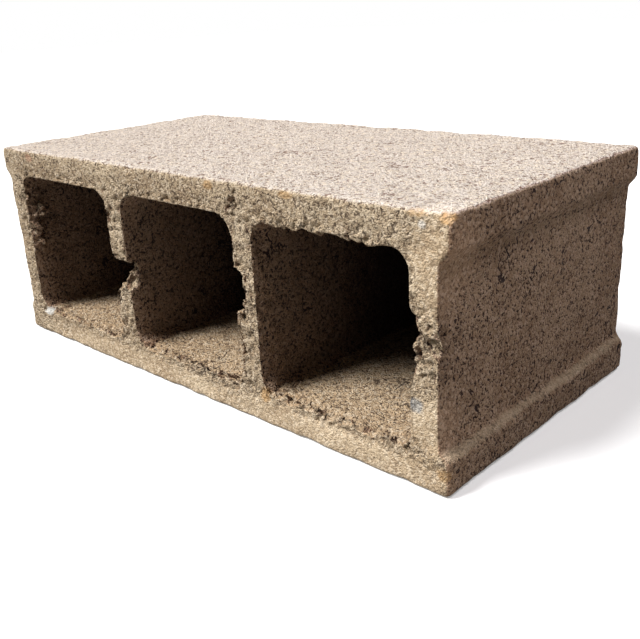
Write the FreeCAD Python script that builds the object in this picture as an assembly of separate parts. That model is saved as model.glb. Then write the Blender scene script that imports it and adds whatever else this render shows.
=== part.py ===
"""Hollow concrete block with three blind cells, lying on one face shell.

X runs along the block, Y from the open face to the closed one, Z up through the two face shells.
The origin is the middle of the face that the block lies on. Lengths are in millimetres.
"""

import FreeCAD, Part
import os

# Overall size of the block: a 400 x 200 x 150 module less its 10 mm mortar joints.
block_length = 390.0
block_height = 190.0
block_width = 140.0

# Walls at the open face, where the cells are widest.
cell_count = 3
face_shell = 19.5
end_wall = 22.5
web = 17.0
closed_face = 25.0

# Each cell narrows towards its closed end, as the mould's core does.
cell_draft = 3.5
cell_corner_radius = 12.0
cell_end_radius = 6.0

# Both ends are hollowed for mortar between two ears that run the block's height.
recess_depth = 4.5
ear_height = 18.5
ear_slope = 5.5

# Outer edges, rounded by wear.
long_edge_radius = 4.0
face_edge_radius = 2.5

# Notch knocked through the front edge of the first web.
notch_rise = 67.5
notch_radius = 9.0
notch_reach = 8.0

# Scoop broken out of the last end wall, where it meets the cell.
scoop_rise = 74.0
scoop_height = 38.0
scoop_depth = 6.5

open_face = -block_height / 2
half_length = block_length / 2
cell_width = (block_length - 2 * end_wall - (cell_count - 1) * web) / cell_count
cell_pitch = cell_width + web
first_cell_start = -half_length + end_wall
last_cell_stop = half_length - end_wall
same = 0.01


def end_outline():
    """Corners of the right-hand end from the bottom up: ear, recess, ear."""
    recess_wall = half_length - recess_depth
    upper_ear = block_width - ear_height
    return [
        (half_length, 0),
        (half_length, ear_height),
        (recess_wall, ear_height + ear_slope),
        (recess_wall, upper_ear - ear_slope),
        (half_length, upper_ear),
        (half_length, block_width),
    ]


def is_long_edge(edge):
    """True for an edge along Y at one of the four outer corners of the section."""
    box = edge.BoundBox
    at_end = abs(abs(edge.CenterOfMass.x) - half_length) < same
    at_shell = box.ZMin > block_width - same or box.ZMax < same
    return at_end and at_shell and box.YLength > same


def is_face_edge(edge):
    """True for an edge round the open face or the closed one."""
    box = edge.BoundBox
    return box.YLength < same and abs(abs(edge.CenterOfMass.y) + open_face) < same


def round_edges(shape, radius, chosen):
    """Round the edges of a shape that the test picks out."""
    return shape.makeFillet(radius, [edge for edge in shape.Edges if chosen(edge)])


def make_outside():
    """The block with no cells: its section run from the open face to the closed one."""
    right = end_outline()
    left = [(-x, z) for x, z in reversed(right)]
    corners = [FreeCAD.Vector(x, open_face, z) for x, z in right + left]
    section = Part.Face(Part.makePolygon(corners + corners[:1]))
    block = section.extrude(FreeCAD.Vector(0, block_height, 0))
    block = round_edges(block, long_edge_radius, is_long_edge)
    return round_edges(block, face_edge_radius, is_face_edge)


def make_cell(start):
    """The hollow of one cell, from its left wall at the open face, tapering inwards."""
    stop = start + cell_width
    floor, roof = face_shell, block_width - face_shell
    closed_end = -open_face - closed_face
    core = Part.makeWedge(
        *(start, open_face, floor, floor + cell_draft, start + cell_draft),
        *(stop, closed_end, roof, roof - cell_draft, stop - cell_draft),
    )
    core = round_edges(core, cell_corner_radius, lambda edge: edge.BoundBox.YLength > same)
    return round_edges(core, cell_end_radius, lambda edge: edge.BoundBox.YMin > closed_end - same)


def make_notch():
    """The hollow of the notch: a round bar laid across the first web's front edge."""
    start = first_cell_start + cell_width
    axis_depth = open_face + notch_reach - notch_radius
    return Part.makeCylinder(
        notch_radius,
        web + 2 * notch_radius,
        FreeCAD.Vector(start - notch_radius, axis_depth, notch_rise),
        FreeCAD.Vector(1, 0, 0),
    )


def make_scoop():
    """The hollow of the scoop: a ball that bites scoop_depth into the last end wall."""
    half_chord = scoop_height / 2
    radius = (half_chord**2 + scoop_depth**2) / (2 * scoop_depth)
    centre = last_cell_stop + scoop_depth - radius
    return Part.makeSphere(radius, FreeCAD.Vector(centre, open_face, scoop_rise))


def make_block():
    """One cast piece: the outside less its cells and its two large chips."""
    cells = [make_cell(first_cell_start + i * cell_pitch) for i in range(cell_count)]
    block = make_outside().cut(cells + [make_notch(), make_scoop()])
    return block.Solids[0]


block = make_block()
os.makedirs("parts", exist_ok=True)
block.exportStep("parts/concrete_block.step")
print("concrete_block:", round(block.Volume / 1e6, 4), "litres, valid", block.isValid())
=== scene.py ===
# %% [markdown]
# # A weathered hollow concrete block
# The real thing is one dry-cast block: a stiff, sandy mix is rammed into a steel mould and turned
# out at once, so its skin is open and grainy, and its thin edges crumble. This lesson loads the
# block at its true size, chips and wears a copy of it, and gives the copy a sandy finish.

# %% Load the block
import math
import random

import bpy
from mathutils import Euler, Matrix, Vector


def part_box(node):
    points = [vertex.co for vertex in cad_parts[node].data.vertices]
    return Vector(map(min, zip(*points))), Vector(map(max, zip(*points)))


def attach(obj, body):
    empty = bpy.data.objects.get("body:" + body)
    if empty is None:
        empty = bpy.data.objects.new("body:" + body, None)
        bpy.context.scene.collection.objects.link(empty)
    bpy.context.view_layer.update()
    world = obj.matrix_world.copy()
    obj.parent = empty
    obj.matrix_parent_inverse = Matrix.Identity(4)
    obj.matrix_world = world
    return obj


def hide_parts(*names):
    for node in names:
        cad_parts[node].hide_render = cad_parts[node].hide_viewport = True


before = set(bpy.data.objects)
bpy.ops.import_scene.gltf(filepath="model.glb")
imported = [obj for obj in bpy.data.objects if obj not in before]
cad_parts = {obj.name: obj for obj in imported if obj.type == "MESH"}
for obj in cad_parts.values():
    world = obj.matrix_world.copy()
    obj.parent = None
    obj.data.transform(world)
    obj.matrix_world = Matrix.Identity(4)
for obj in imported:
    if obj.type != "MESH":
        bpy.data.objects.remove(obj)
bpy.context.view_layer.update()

MM = 0.001
block_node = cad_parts["concrete_block"]
low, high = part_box("concrete_block")
size = high - low
print("block", [round(side / MM) for side in size], "mm")

# %% [markdown]
# ## Where things are
# The block lies on one long face, with its three cells open towards -Y. A few lengths repeat the
# moulded section, so that chips, crumbs and stains land on the webs and walls that they belong to.
# They could be typed in as places, but worked out from the loaded box they follow the block.

# %% The moulded section, in millimetres
OPEN_FACE = low.y / MM
BACK_FACE = -OPEN_FACE
END_WALL = 22.5
WEB = 17.0
SHELL = 19.5
CELL_COUNT = 3
LENGTH, HEIGHT, WIDTH = (side / MM for side in size)
END = LENGTH / 2
CELL = (LENGTH - 2 * END_WALL - (CELL_COUNT - 1) * WEB) / CELL_COUNT
FIRST_CELL = -LENGTH / 2 + END_WALL
FIRST_WEB = FIRST_CELL + CELL
SECOND_WEB = FIRST_WEB + WEB + CELL
LAST_WALL = LENGTH / 2 - END_WALL
ROOF = WIDTH - SHELL
print("cells", round(CELL, 1), "mm wide, in a block", round(HEIGHT), "mm high as it is laid")
print("webs start at", round(FIRST_WEB, 1), "and", round(SECOND_WEB, 1))

# %% [markdown]
# ## Modelling helpers
# Operators act on whatever is selected, so each helper first makes one object the only selected
# and active one. A modifier could stay live, but applied at once it leaves plain geometry that the
# next step can build on.


# %% Helpers for selecting and finishing
def pick(piece, *others):
    """Make a piece active, and select only it and the others."""
    bpy.ops.object.select_all(action="DESELECT")
    for each in (piece, *others):
        each.select_set(True)
    bpy.context.view_layer.objects.active = piece
    return piece


def apply_modifier(piece, kind, **settings):
    """Add one modifier to a piece and apply it at once."""
    modifier = pick(piece).modifiers.new(kind.title(), kind)
    for name, value in settings.items():
        setattr(modifier, name, value)
    bpy.ops.object.modifier_apply(modifier=modifier.name)
    return piece


def join(pieces, name):
    """Join several meshes into one, with its place in its mesh."""
    pick(*pieces)
    bpy.ops.object.join()
    bpy.ops.object.transform_apply(location=True, rotation=True, scale=True)
    whole = bpy.context.active_object
    whole.name = name
    return whole


print("helpers: pick, apply_modifier, join")

# %% [markdown]
# ## A copy to work on
# The loaded block stays as it is, for collisions. The visible block is a copy: its loose triangles
# are merged first, because wear and chips need a closed skin.

# %% Copy the block
block = block_node.copy()
block.data = block_node.data.copy()
block.name = "weathered_block"
block.parent = None
bpy.context.scene.collection.objects.link(block)
pick(block)
bpy.ops.object.mode_set(mode="EDIT")
bpy.ops.mesh.select_all(action="SELECT")
bpy.ops.mesh.remove_doubles(threshold=0.01 * MM)
bpy.ops.object.mode_set(mode="OBJECT")
print("merged copy:", len(block.data.vertices), "vertices")

# %% [markdown]
# ## Chips
# Concrete breaks in rough scoops. Balls, each stretched, turned and more or less boxy, are joined
# into one lumpy tool, which is cut out of the block wherever it is broken: through the first web,
# out of the second web's edge, and along the last wall. Thin ones make the cracks. The chips could
# be sculpted by hand, but shapes cut with a Boolean stay where the list below puts them.

# %% The chipping stone
break_texture = bpy.data.textures.new("rough_break", "CLOUDS")
break_texture.noise_scale = 0.55
break_texture.noise_depth = 3
BREAK_ROUGHNESS = 1.2


def chipping_stone(name, centre, radii, turn=(0, 0, 0), boxy=0.0):
    """A ball of the given half sizes, centred on a point, all in millimetres."""
    bpy.ops.object.select_all(action="DESELECT")
    bpy.ops.mesh.primitive_ico_sphere_add(subdivisions=4, radius=1.0, location=(0, 0, 0))
    stone = bpy.context.active_object
    stone.name = name
    if boxy:
        apply_modifier(stone, "CAST", cast_type="CUBOID", factor=boxy)
    pick(stone)
    stone.location = [MM * value for value in centre]
    stone.scale = [MM * value for value in radii]
    stone.rotation_euler = [math.radians(value) for value in turn]
    bpy.ops.object.transform_apply(location=True, rotation=True, scale=True)
    return stone


print("chipping stone: lumps", BREAK_ROUGHNESS, "mm high")

# %% Where the block is chipped: name, centre, half sizes, turn, boxiness
mid_web = FIRST_WEB + WEB / 2
chips = [
    ("web_notch", (mid_web - 3, OPEN_FACE - 3, 68), (15, 13, 8.5), (0, 6, 0), 0.5),
    ("web_notch_back", (mid_web - 8, OPEN_FACE + 4, 66), (11, 12, 10), (0, -20, 0), 0.3),
    ("web_pit", (mid_web + 1, OPEN_FACE - 0.5, 88), (1.8, 4, 2.6), (0, 20, 0)),
    ("web_edge", (SECOND_WEB - 5.5, OPEN_FACE - 4, 79), (12, 17, 12.5), (0, 4, 0), 0.7),
    ("wall_break", (LAST_WALL - 6, OPEN_FACE - 3, 75), (12, 16, 17), (0, -14, 0), 0.2),
    ("wall_pit", (LAST_WALL + 15, OPEN_FACE - 1, 76), (7, 5, 3), (0, 38, 0), 0.1),
    ("wall_crack", (LAST_WALL + 4, OPEN_FACE, 90), (7, 5, 1.9), (0, -32, 0)),
    ("wall_low_crack", (LAST_WALL + 8, OPEN_FACE, 59), (8, 4, 1.2), (0, 12, 0)),
    ("shell_crack", (SECOND_WEB + 3.5, OPEN_FACE - 1, 129), (1.5, 6, 10), (0, 36, 0), 0.2),
    ("shell_nick", (134, OPEN_FACE - 1, 138), (1.1, 5, 5), (0, 18, 0)),
    ("corner_wear", (END + 2, OPEN_FACE - 3, WIDTH + 3), (10, 10, 9)),
]
print("chips planned:", len(chips))

# %% Chip the block
tool = join([chipping_stone(*chip) for chip in chips], "chipping_tool")
apply_modifier(
    tool, "DISPLACE", texture=break_texture, texture_coords="LOCAL", strength=BREAK_ROUGHNESS * MM
)
apply_modifier(block, "BOOLEAN", object=tool, operation="DIFFERENCE", solver="EXACT", use_self=True)
bpy.data.objects.remove(tool)
print("chipped:", len(chips), "chips,", len(block.data.vertices), "vertices")

# %% [markdown]
# ## Crumbs
# Where the mould was struck off, grains were dragged over the edges and stuck there as crumbling
# ledges. They are small balls pressed into the block, which the remesh below fuses with it. One
# crumb is modelled and copied. A particle system could scatter them too, but plain copies along a
# line put each ledge exactly where it belongs.

# %% One crumb
random.seed(7)
bpy.ops.object.select_all(action="DESELECT")
bpy.ops.mesh.primitive_ico_sphere_add(subdivisions=1, radius=1.0, location=(0, 0, 0))
crumb = bpy.context.active_object
bpy.ops.object.mode_set(mode="EDIT")
bpy.ops.transform.vertex_random(offset=0.25, seed=3)
bpy.ops.object.mode_set(mode="OBJECT")
print("crumb:", len(crumb.data.polygons), "faces")


# %% Rows of crumbs
def crumb_row(start, stop, count, sizes, spread):
    """Copies of the crumb scattered along a line, in millimetres."""
    row = []
    for _ in range(count):
        way = random.random()
        radius = random.uniform(*sizes)
        place = [a + (b - a) * way + random.gauss(0, spread) for a, b in zip(start, stop)]
        place[1] = max(place[1], OPEN_FACE + 0.4 * radius)
        copy = crumb.copy()
        copy.data = crumb.data.copy()
        copy.location = [MM * value for value in place]
        copy.scale = [radius * MM] * 3
        copy.rotation_euler = [random.uniform(0, math.tau) for _ in range(3)]
        bpy.context.scene.collection.objects.link(copy)
        row.append(copy)
    return row


LEDGE = OPEN_FACE + 3
rows = [
    ((FIRST_WEB + WEB + 20, LEDGE, SHELL), (SECOND_WEB - 4, LEDGE, SHELL), 70, (1.2, 2.6), 1.4),
    ((SECOND_WEB + WEB + 4, LEDGE, SHELL), (LAST_WALL, LEDGE, SHELL), 90, (1.2, 2.6), 1.4),
    ((FIRST_CELL, LEDGE, SHELL), (FIRST_WEB, LEDGE, SHELL), 40, (1.0, 2.0), 1.2),
    ((SECOND_WEB + WEB + 12, LEDGE, ROOF), (LAST_WALL - 6, LEDGE, ROOF), 60, (1.0, 2.2), 1.0),
    ((SECOND_WEB + 3, LEDGE, 52), (SECOND_WEB + 1, LEDGE, 64), 26, (2.0, 3.6), 1.3),
    ((FIRST_CELL - 1, LEDGE, 60), (FIRST_CELL - 1, LEDGE, 116), 44, (1.6, 3.2), 1.4),
    ((FIRST_CELL + 1, LEDGE + 3, 72), (FIRST_CELL, LEDGE + 8, 122), 60, (2.0, 4.0), 2.2),
    ((LAST_WALL + 2, LEDGE + 1, 56), (LAST_WALL + 5, LEDGE + 1, 92), 40, (1.4, 2.8), 1.6),
    ((FIRST_WEB + 4, LEDGE + 4, 56), (FIRST_WEB + 14, LEDGE + 5, 70), 30, (1.6, 2.8), 1.5),
]
crumbs = [each for row in rows for each in crumb_row(*row)]
bpy.data.objects.remove(crumb)
block = join([block, *crumbs], "weathered_block")
print("crumbs:", len(crumbs), "in", len(rows), "rows")

# %% [markdown]
# ## One closed skin
# A voxel remesh fuses block and crumbs into one closed skin of even, tiny faces. That gives the
# wear something to push on. A little smoothing takes off the steps that the voxels leave.

# %% Remesh
VOXEL = 1.25 * MM
apply_modifier(block, "REMESH", mode="VOXEL", voxel_size=VOXEL, adaptivity=0.0)
apply_modifier(block, "SMOOTH", factor=0.5, iterations=5)
print("remeshed:", len(block.data.polygons), "faces")

# %% [markdown]
# ## Node sums as plain sums
# Relief and colour both come from node trees. `Wire` wraps a socket, so that `1 - mask` or
# `a * b + c` adds the Math nodes, and `node` makes any other kind: its settings are set first, and
# then its sockets are given values or wires.


# %% The Wire class
class Wire:
    """An output socket that can be used in sums."""

    def __init__(self, tree, socket=None):
        self.tree = tree
        self.socket = socket

    def node(self, kind, settings=None, inputs=None, output=0):
        """Add a node of any kind and return the wire of one of its outputs."""
        made = self.tree.nodes.new(kind)
        for name, value in (settings or {}).items():
            setattr(made, name, value)
        for key, value in (inputs or {}).items():
            if isinstance(value, Wire):
                self.tree.links.new(value.socket, made.inputs[key])
            else:
                made.inputs[key].default_value = value
        return Wire(self.tree, made.outputs[output] if made.outputs else None)

    def sibling(self, output):
        """Another output of the same node."""
        return Wire(self.tree, self.socket.node.outputs[output])

    def math(self, operation, *values):
        """A Math node on this wire's tree."""
        return self.node("ShaderNodeMath", {"operation": operation}, dict(enumerate(values)))

    def vector(self, operation, inputs, output=0):
        """A Vector Math node on this wire's tree."""
        return self.node("ShaderNodeVectorMath", {"operation": operation}, inputs, output)

    def __add__(self, other):
        return self.math("ADD", self, other)

    def __sub__(self, other):
        return self.math("SUBTRACT", self, other)

    def __rsub__(self, other):
        return self.math("SUBTRACT", other, self)

    def __mul__(self, other):
        return self.math("MULTIPLY", self, other)

    __radd__ = __add__
    __rmul__ = __mul__


print("Wire: sums of sockets with +, - and *")

# %% [markdown]
# ## Patterns that relief and colour share
# Sand in dry-cast concrete stands out as rounded grains with voids between them. The same patterns
# shape the skin and colour it, so that a void is both deep and painted with shade. Some places came
# out of the mould smooth and sound, and others broke and show the lumps inside: both are lists of
# ellipsoids.


# %% Steps, noise and grains
def rising(value, start, stop):
    """0 below start and 1 above stop, with a smooth step between."""
    kind = {"interpolation_type": "SMOOTHSTEP"}
    return value.node("ShaderNodeMapRange", kind, {"Value": value, "From Min": start, "From Max": stop})


def along(point, axis):
    """One coordinate of a point or a direction."""
    return point.node("ShaderNodeSeparateXYZ", None, {"Vector": point}, axis)


def unsigned(point, axis):
    """One coordinate of a point or a direction, the same on both sides of the middle."""
    return point.math("ABSOLUTE", along(point, axis))


def noise(point, grain_mm, detail=2.0, roughness=0.5):
    """Cloudy noise from 0 to 1 whose lumps are about grain_mm across."""
    values = {"Vector": point, "Scale": 1 / (grain_mm * MM), "Detail": detail, "Roughness": roughness}
    return point.node("ShaderNodeTexNoise", {"noise_dimensions": "3D"}, values)


def jitter(point, grain_mm, amount_mm):
    """The point pushed about a little, so that grains drawn at it aren't round."""
    cloud = noise(point, grain_mm).sibling("Color")
    return point.vector("MULTIPLY_ADD", {0: cloud, 1: [amount_mm * MM] * 3, 2: point})


def sand(point, grain_mm, missing):
    """Packed grains: their height from 0 to 1, with a share of them missing, and each one's shade."""
    loose = jitter(point, grain_mm * 1.5, grain_mm * 0.9)
    far = point.node("ShaderNodeTexVoronoi", None, {"Vector": loose, "Scale": 1 / (grain_mm * MM)})
    shade = along(far.sibling("Color"), "X")
    there = rising(shade, missing, missing + 0.1)
    return (1 - far * far) * (there * 0.8 + 0.2), shade


print("patterns: rising, noise, sand")


# %% Voids, hollows and cracks
def voids(point):
    """1 in the scattered voids between grains, 0 on the sound skin."""
    return rising(noise(point, 3.6, 4.0, 0.65), 0.63, 0.70)


def hollows(point):
    """0 to 1 in the gaps between the lumps of a broken face."""
    return rising(noise(point, 4.6, 3.0, 0.65), 0.45, 0.62)


def cracks(point):
    """1 along a few winding cracks, each some centimetres long."""
    middle = point.math("ABSOLUTE", noise(point, 15.0, 2.0, 0.5) - 0.5)
    return (1 - rising(middle, 0.004, 0.022)) * rising(noise(point, 24.0), 0.56, 0.64)


print("gaps: voids, hollows, cracks")

# %% Sound and broken places: centre and half sizes, in millimetres
SOUND_PATCHES = [
    ((188, OPEN_FACE, 116), (16, 30, 25)),
    ((184, OPEN_FACE, 36), (16, 20, 14)),
    ((120, OPEN_FACE, 7), (90, 12, 12)),
    ((-60, OPEN_FACE, 7), (110, 12, 10)),
]
BROKEN_PATCHES = [
    ((185, OPEN_FACE, 74), (13, 12, 17)),
    ((FIRST_WEB + 8, OPEN_FACE + 4, 66), (16, 14, 16)),
    ((SECOND_WEB + 3, OPEN_FACE, 76), (7, 12, 44)),
    ((-170, OPEN_FACE + 8, 98), (9, 16, 30)),
    ((20, OPEN_FACE + 3, SHELL), (46, 8, 6)),
    ((118, OPEN_FACE + 3, SHELL), (52, 8, 6)),
]
SPOT_SOFTNESS = 0.35


def spot(point, centre, radii):
    """1 inside an ellipsoid at a place in millimetres, 0 outside, with a soft uneven edge."""
    shifted = point.vector("SUBTRACT", {0: point, 1: [MM * value for value in centre]})
    scaled = point.vector("DIVIDE", {0: shifted, 1: [MM * value for value in radii]})
    far = point.vector("LENGTH", {0: scaled}, "Value") + (noise(point, 3.0) - 0.5) * 0.8
    return 1 - rising(far, 1 - SPOT_SOFTNESS, 1 + SPOT_SOFTNESS)


def outside(point, patches):
    """1 away from every patch of a list, fading to 0 inside each."""
    clear = 1 - spot(point, *patches[0])
    for patch in patches[1:]:
        clear = clear * (1 - spot(point, *patch))
    return clear


print("patches:", len(SOUND_PATCHES), "sound,", len(BROKEN_PATCHES), "broken")


# %% Inside the cells
def within(point):
    """1 in and between the cells, fading to 0 in the outer walls."""
    sides = 1 - rising(unsigned(point, "X"), (LAST_WALL + 4) * MM, (LAST_WALL + 11) * MM)
    above_floor = rising(along(point, "Z"), (SHELL - 10) * MM, (SHELL - 3) * MM)
    below_roof = 1 - rising(along(point, "Z"), (ROOF + 3) * MM, (ROOF + 10) * MM)
    before_back = 1 - rising(along(point, "Y"), (BACK_FACE - 18) * MM, (BACK_FACE - 10) * MM)
    return sides * above_floor * below_roof * before_back


print("cells lie from", round(FIRST_CELL, 1), "to", round(LAST_WALL, 1), "mm")

# %% [markdown]
# ## Relief
# Geometry Nodes move every point of the skin. Blurring the points' places and comparing shows
# where the skin sticks out, which is along the edges, and those wear back unevenly: a little round
# the outside, and raggedly round the mouths of the cells. A Displace modifier could push points
# too, but it can't tell an edge from a flat.

# %% Start the tree and find the edges
relief_tree = bpy.data.node_groups.new("block_relief", "GeometryNodeTree")
relief_tree.interface.new_socket("Geometry", in_out="INPUT", socket_type="NodeSocketGeometry")
relief_tree.interface.new_socket("Geometry", in_out="OUTPUT", socket_type="NodeSocketGeometry")
relief = Wire(relief_tree)
skin = relief.node("NodeGroupInput")
place = relief.node("GeometryNodeInputPosition")
facing = relief.node("GeometryNodeInputNormal")
blur = relief.node("GeometryNodeBlurAttribute", {"data_type": "FLOAT_VECTOR"}, {2: place, "Iterations": 14})
blurred = Wire(relief_tree, next(socket for socket in blur.socket.node.outputs if socket.enabled))
outward = relief.vector("SUBTRACT", {0: place, 1: blurred})
bulge = relief.vector("DOT_PRODUCT", {0: outward, 1: facing}, "Value")
edge = rising(bulge, 0.1 * MM, 0.9 * MM)
print("edge finder:", len(relief_tree.nodes), "nodes")

# %% [markdown]
# ### Wear and grain
# Edges are rubbed a little everywhere and crumble at the mouths. Broken places have deep hollows,
# and scattered voids sink into the rest. All depths here are in millimetres.

# %% Wear and grain
mouth = within(place) * (1 - rising(along(place, "Y"), (OPEN_FACE + 6) * MM, (OPEN_FACE + 22) * MM))
rough = outside(place, SOUND_PATCHES)
broken = 1 - outside(place, BROKEN_PATCHES)
rubbed = edge * (rising(noise(place, 16.0, 4.0, 0.6), 0.35, 0.75) + 0.2)
crumbled = mouth * rough * rising(noise(place, 5.0, 3.0, 0.6), 0.42, 0.70) * (edge * 2.2 + 0.2)
lumps = (noise(place, 22.0, 4.0, 0.55) - 0.5) * (rough * 0.5 + 0.3)
grain = (noise(place, 3.6, 2.0, 0.5) - 0.5) * rough * (mouth * 0.5 + 0.3)
sunk = voids(place) * (rough * 0.4 + 0.1) + broken * hollows(place) * 1.8
print("wear and grain:", len(relief_tree.nodes), "nodes")

# %% [markdown]
# ### The dished ends
# The recess in each end is a little deeper towards the open face, as a mould with some taper
# leaves it. The loaded block has one even depth, so the skin is pushed in further there.

# %% The dished ends
DISH_DEPTH = 2.6
on_end = rising(unsigned(place, "X"), (END - 12) * MM, (END - 6) * MM)
on_end = on_end * rising(unsigned(facing, "X"), 0.3, 0.8)
mid_height = rising(along(place, "Z"), 20 * MM, 34 * MM)
mid_height = mid_height * (1 - rising(along(place, "Z"), 106 * MM, 120 * MM))
near = 1 - rising(along(place, "Y"), (OPEN_FACE - 20) * MM, (OPEN_FACE + 90) * MM)
dished = on_end * mid_height * near * DISH_DEPTH
print("dished by up to", DISH_DEPTH, "mm")

# %% [markdown]
# ### Moving the points
# The depths are added up and the points pushed along their normals. The last step keeps every
# point on or above the floor, where the block lies.

# %% Move the points
SKIN_ALLOWANCE = 0.1
depth = (lumps + grain - sunk - rubbed - crumbled - dished - SKIN_ALLOWANCE) * MM
push = relief.vector("SCALE", {0: facing, "Scale": depth})
moved = relief.vector("ADD", {0: place, 1: push})
above_ground = relief.vector("MAXIMUM", {0: moved, 1: (-1, -1, 0)})
shaped = relief.node("GeometryNodeSetPosition", None, {"Geometry": skin, "Position": above_ground})
relief.node("NodeGroupOutput", None, {0: shaped})
apply_modifier(block, "NODES", node_group=relief_tree)
print("relief:", [round(side / MM, 1) for side in block.dimensions], "mm over all")

# %% [markdown]
# ## Fewer faces where nobody looks
# The skin now has far more faces than it needs. The dark ends of the cells, the bottom and the
# back are thinned first, and then all but the open face, whose broken edges need the finest faces.

# %% Thin the mesh
FIRST_TARGET = 300_000
FACE_BUDGET = 196_000
PLAIN_MARGIN = 12
OPEN_DEPTH = 9


def thin(piece, target, group):
    """Collapse edges, most of all in one vertex group, until a piece has about target triangles."""
    ratio = min(1.0, target / len(piece.data.polygons))
    return apply_modifier(piece, "DECIMATE", ratio=ratio, vertex_group=group, vertex_group_factor=1.0)


def is_plain(point):
    """True for a point of the skin that is hard to see."""
    x, y, z = point / MM
    deep_inside = y > OPEN_FACE + 30 and abs(x) < END - PLAIN_MARGIN and 8 < z < WIDTH - 8
    return deep_inside or z < 3 or y > BACK_FACE - 4 or x < -END + PLAIN_MARGIN


def is_broad(point):
    """True for a point away from the open face."""
    return point.y > (OPEN_FACE + OPEN_DEPTH) * MM


def mark(piece, name, test):
    """A vertex group of the points that pass a test."""
    group = piece.vertex_groups.new(name=name)
    group.add([vertex.index for vertex in piece.data.vertices if test(vertex.co)], 1.0, "REPLACE")


apply_modifier(block, "TRIANGULATE")
mark(block, "plain", is_plain)
mark(block, "broad", is_broad)
thin(block, FIRST_TARGET, "plain")
thin(block, FACE_BUDGET, "broad")
pick(block)
bpy.ops.object.shade_smooth()
print("thinned:", len(block.data.polygons), "triangles")

# %% [markdown]
# ## The finish
# Dry sandy concrete: tan where it is clean, paler and pinker on top with dust and painted light,
# with painted shade inside the cells and in the voids, and a few coloured stones in the mix. A
# picture could be wrapped round the block, but patterns worked out from each point's place never
# stretch or repeat.


# %% Colour helpers
def linear(red, green, blue):
    """A colour as the eye sees it, from 0 to 255, as the light values that nodes use."""
    values = [channel / 255 for channel in (red, green, blue)]
    return (*(v / 12.92 if v <= 0.04045 else ((v + 0.055) / 1.055) ** 2.4 for v in values), 1.0)


def mix(amount, first, second, blend="MIX"):
    """Blend two colours by an amount."""
    settings = {"data_type": "RGBA", "blend_type": blend, "clamp_factor": True}
    return amount.node("ShaderNodeMix", settings, {0: amount, 6: first, 7: second}, 2)


TAN = linear(196, 174, 144)
BUFF = linear(218, 198, 168)
BROWN = linear(154, 130, 106)
# Painted shade for faces that look sideways.
PAINTED_SIDE_SHADE = linear(228, 214, 214)
SANDY = linear(214, 180, 140)
# Dust on top, and painted light: the top is painted paler, as where light falls on it.
DUST_AND_PAINTED_LIGHT = linear(241, 232, 223)
DIM = linear(218, 212, 206)
# Painted shade in pits, and in pits on top.
PAINTED_PIT_SHADE = linear(50, 34, 29)
PAINTED_TOP_PIT_SHADE = linear(112, 78, 62)
LIGHT_GRAIN = linear(228, 210, 184)
# Painted shade deep in the cells.
PAINTED_CELL_SHADE = linear(30, 20, 21)
OCHRE = linear(202, 158, 102)
PINK = linear(206, 158, 128)
WHITE = linear(232, 228, 220)
SLATE = linear(140, 150, 158)
print("tan in light values:", [round(value, 3) for value in TAN])

# %% Start the concrete
concrete = bpy.data.materials.new("dry_cast_concrete")
concrete.use_nodes = True
tree = concrete.node_tree
tree.nodes.clear()
net = Wire(tree)
point = net.node("ShaderNodeTexCoord", output="Object")
normal = point.sibling("Normal")
print("material:", concrete.name)

# %% [markdown]
# ### Grain heights
# Lumps, grit and sand are added into one height. It bends the light later, and its lowest places
# get painted shade as the dark pits between grains.

# %% Grain heights
rough = outside(point, SOUND_PATCHES)
broken = 1 - outside(point, BROKEN_PATCHES)
grains, grain_shade = sand(point, 1.6, 0.08)
lumpy = noise(point, 2.0, 3.0, 0.7)
gritty = noise(point, 1.0, 2.0, 0.6)
heights = lumpy * 0.9 + gritty + grains * 0.35 - voids(point) * 0.25 - cracks(point) * rough * 0.4
print("heights:", len(tree.nodes), "nodes so far")

# %% [markdown]
# ### Which way a place faces
# Dust settles on what faces up: the top and the floors of the cells. The top also gets painted
# light, the sloping ledge along each end a painted highlight, and faces that look sideways, the two
# ends among them, painted shade.

# %% Facing
sideways = rising(unsigned(normal, "X"), 0.35, 0.62)
up = rising(along(normal, "Z"), 0.45, 0.85)
on_top = up * rising(along(point, "Z"), (WIDTH - 7) * MM, (WIDTH - 2) * MM)
by_end = rising(unsigned(point, "X"), (END - 9) * MM, (END - 6) * MM)
ledge = rising(along(normal, "Z"), 0.35, 0.8) * by_end * (1 - on_top)
print("facing:", len(tree.nodes), "nodes so far")

# %% Clean concrete, with dust and painted light on top
mottled = mix(rising(noise(point, 45.0, 3.0), 0.38, 0.62), TAN, BUFF)
mottled = mix(rising(noise(point, 8.0, 4.0, 0.65), 0.45, 0.68) * (rough * 0.3 + 0.1), mottled, BROWN)
mottled = mix(up * within(point) * 0.5, mottled, SANDY)
# Dust on top, and painted light: the top is painted paler, as where light falls on it.
coloured = mix(on_top * 0.95, mottled, DUST_AND_PAINTED_LIGHT)
print("clean concrete:", len(tree.nodes), "nodes so far")

# %% Grains, and painted shade in the pits
coloured = mix(1 - rising(noise(point, 0.6, 1.0), 0.35, 0.65), coloured, DIM, "MULTIPLY")
coloured = mix(rising(grain_shade, 0.5, 1.0) * 0.6, coloured, LIGHT_GRAIN)
coloured = mix((1 - rising(grain_shade, 0.0, 0.5)) * 0.3, coloured, BROWN)
# Painted shade in pits and cracks: the lowest grain heights are darkened, most on rough places and on faces
# that look sideways.
pit_shade_strength = (rough * 0.5 + sideways * 0.32 + 0.3) * (1 - ledge * 0.5)
painted_pit_shade = (1 - rising(heights, 0.88, 1.18)) * pit_shade_strength
coloured = mix(painted_pit_shade, coloured, mix(on_top, PAINTED_PIT_SHADE, PAINTED_TOP_PIT_SHADE))
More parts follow.
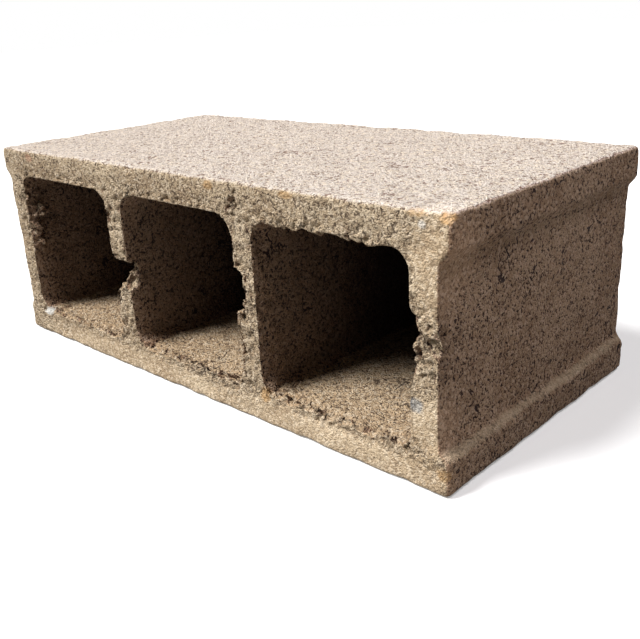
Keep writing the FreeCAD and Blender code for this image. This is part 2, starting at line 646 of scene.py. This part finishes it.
# Painted shade in the hollows between the lumps of broken places.
coloured = mix(broken * hollows(point) * 0.35, coloured, PAINTED_PIT_SHADE)
print("grains and pits:", len(tree.nodes), "nodes so far")

# %% [markdown]
# ### Painted shade, and a painted highlight
# Faces that look sideways, the ends among them, get painted shade, and the ledges along the ends a
# painted highlight. The cells get painted shade that grows darker with depth.

# %% Painted shade on the ends and in the cells, a painted highlight on the ledges
# Painted shade: faces that look sideways, both ends and the side walls of the cells, are darkened and
# reddened.
coloured = mix(sideways, coloured, PAINTED_SIDE_SHADE, "MULTIPLY")
# Painted highlight: the sloping ledge along each end is lightened, as where light from above falls on it.
coloured = mix(ledge * 0.5, coloured, BUFF)
deep = rising(along(point, "Y"), (OPEN_FACE + 12) * MM, (OPEN_FACE + 120) * MM)
past_mouth = rising(along(point, "Y"), (OPEN_FACE + 5) * MM, (OPEN_FACE + 20) * MM)
# Painted shade: the cells darken with depth from the mouth, and their sideways walls darken past the mouth.
coloured = mix(within(point) * (deep * 0.65 + past_mouth * sideways * 0.3), coloured, PAINTED_CELL_SHADE)
print("dirt:", len(tree.nodes), "nodes so far")

# %% [markdown]
# ### Coloured stones
# A few stones and stains show on the open face: rusty ochre ones, a pink one, a white chip and a
# slate-blue smear. Each is a spot of colour laid over the rest.

# %% Coloured stones: colour, strength, centre, half sizes
stones = [
    (PINK, 0.5, (-156.8, OPEN_FACE, 134.5), (4, 5, 2.5)),
    (OCHRE, 0.5, (36.9, OPEN_FACE, 135.5), (4, 4, 2.5)),
    (OCHRE, 0.5, (96.7, OPEN_FACE, 136.5), (5, 5, 2)),
    (OCHRE, 0.4, (177, OPEN_FACE, 138), (5, 4, 2)),
    (OCHRE, 0.65, (192.5, OPEN_FACE, 137.5), (4, 6, 3)),
    (WHITE, 0.6, (180, OPEN_FACE, 133), (2.0, 4, 2.0)),
    (OCHRE, 0.6, (69.5, OPEN_FACE, 19), (3.6, 5, 4.5)),
    (OCHRE, 0.4, (191, OPEN_FACE, 13), (4, 5, 3)),
    (WHITE, 1.0, (-168.5, OPEN_FACE + 2, 18.5), (5.5, 5, 3)),
    (SLATE, 0.55, (175.5, OPEN_FACE, 45), (4.5, 4, 3.5)),
]
for colour, strength, centre, radii in stones:
    coloured = mix(spot(point, centre, radii) * strength, coloured, colour)
print("coloured stones:", len(stones))

# %% [markdown]
# ### The shader
# The grain heights bend the light through a Bump node, least on the sound patches. Concrete is
# dull all over, so roughness is high and the shine weak.

# %% The shader
bump = {"Strength": 1.0, "Distance": 2.0 * MM, "Height": heights * (rough * 0.6 + 0.4)}
bent = net.node("ShaderNodeBump", None, bump, "Normal")
finish = {"Base Color": coloured, "Roughness": 0.95, "Specular IOR Level": 0.15, "Normal": bent}
shader = net.node("ShaderNodeBsdfPrincipled", None, finish)
net.node("ShaderNodeOutputMaterial", None, {"Surface": shader})
block.data.materials.clear()
block.data.materials.append(concrete)
print("concrete:", len(tree.nodes), "nodes")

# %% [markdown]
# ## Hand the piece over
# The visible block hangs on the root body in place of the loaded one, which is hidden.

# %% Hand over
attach(block, "root")
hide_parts("concrete_block")
print("handed over:", block.name)

# %% [markdown]
# ## A plain studio
# A pale floor and a white surround show as a clean background to the camera, and in gloss or
# glass. Other rays see them dimmer, so that they hardly light the block from below, and the right
# end and the insides of the cells fall into shade.


# %% Which rays see white
def backdrop_rays(wire):
    """1 for rays that should see a white studio: straight from the camera, mirrored or refracted."""
    ray = wire.node("ShaderNodeLightPath", output="Is Camera Ray")
    bounced = ray.math("MAXIMUM", ray.sibling("Is Glossy Ray"), ray.sibling("Is Transmission Ray"))
    return ray.math("MAXIMUM", ray, bounced)


def glowing(wire, colour, strength):
    """A plain surface of one colour that also glows a little."""
    plain = wire.node("ShaderNodeBsdfDiffuse", None, {"Color": colour})
    glow = wire.node("ShaderNodeEmission", None, {"Color": (1.0, 1.0, 1.0, 1.0), "Strength": strength})
    return wire.node("ShaderNodeAddShader", None, {0: plain, 1: glow})


print("studio helpers: backdrop_rays, glowing")

# %% Floor
FLOOR_SIZE = 12.0
bpy.ops.object.select_all(action="DESELECT")
bpy.ops.mesh.primitive_plane_add(size=FLOOR_SIZE, location=(0, 0, 0))
floor = bpy.context.active_object
floor.name = "floor"
pale = bpy.data.materials.new("pale_floor")
pale.use_nodes = True
pale.node_tree.nodes.clear()
sheet = Wire(pale.node_tree)
dim_floor = glowing(sheet, (0.22, 0.205, 0.185, 1.0), 0.08)
white_floor = glowing(sheet, (0.8, 0.8, 0.8, 1.0), 0.25)
surface = sheet.node("ShaderNodeMixShader", None, {0: backdrop_rays(sheet), 1: dim_floor, 2: white_floor})
sheet.node("ShaderNodeOutputMaterial", None, {"Surface": surface})
floor.data.materials.append(pale)
print("floor:", FLOOR_SIZE, "m wide")

# %% World
FILL = 0.037
world = bpy.data.worlds.new("studio")
bpy.context.scene.world = world
world.use_nodes = True
world.node_tree.nodes.clear()
air = Wire(world.node_tree)
fill = backdrop_rays(air) * (1 - FILL) + FILL
background = air.node("ShaderNodeBackground", None, {"Color": (1.0, 1.0, 1.0, 1.0), "Strength": fill})
air.node("ShaderNodeOutputWorld", None, {"Surface": background})
print("world: white to look at, a fill of", FILL)

# %% [markdown]
# ## Two soft lamps
# The key lamp stands high on the left in front and lights the top and the open face. A weaker one
# high on the right skims the right end, so that its ledge and grain show. Both are broad, which
# softens their shadows.


# %% Lamps
def soft_lamp(name, towards, strength, width_degrees, colour=(1.0, 1.0, 1.0)):
    """A sun lamp in a direction from the block, with a wide soft disc."""
    data = bpy.data.lights.new(name, "SUN")
    data.energy = strength
    data.color = colour
    data.angle = math.radians(width_degrees)
    lamp = bpy.data.objects.new(name, data)
    lamp.rotation_euler = Vector(towards).to_track_quat("Z", "Y").to_euler()
    bpy.context.scene.collection.objects.link(lamp)
    return lamp


lamps = [
    soft_lamp("key_lamp", (-0.35, -0.52, 0.78), 6.1, 24),
    soft_lamp("sky_lamp", (0.38, 0.05, 0.92), 1.7, 25, (1.0, 0.96, 0.98)),
]
print("lamps:", [(lamp.name, round(lamp.data.energy, 1)) for lamp in lamps])

# %% [markdown]
# ## The camera
# It looks down on the near corner of the open face, a little tilted, as a hand-held camera is.

# %% Camera
AZIMUTH, ELEVATION, ROLL = (math.radians(angle) for angle in (44.07, 20.97, -3.18))
CAMERA_PLACE = (0.3835, -0.3706, 0.2225)
LENS = 45.96
camera_data = bpy.data.cameras.new("camera")
camera_data.lens = LENS
camera = bpy.data.objects.new("camera", camera_data)
turn = Euler((math.pi / 2 - ELEVATION, 0, AZIMUTH)).to_matrix() @ Matrix.Rotation(ROLL, 3, "Z")
camera.matrix_world = Matrix.Translation(CAMERA_PLACE) @ turn.to_4x4()
bpy.context.scene.collection.objects.link(camera)
bpy.context.scene.camera = camera
bpy.context.scene.view_settings.view_transform = "Standard"
print("camera:", LENS, "mm lens,", round(Vector(CAMERA_PLACE).length, 2), "m from the middle")
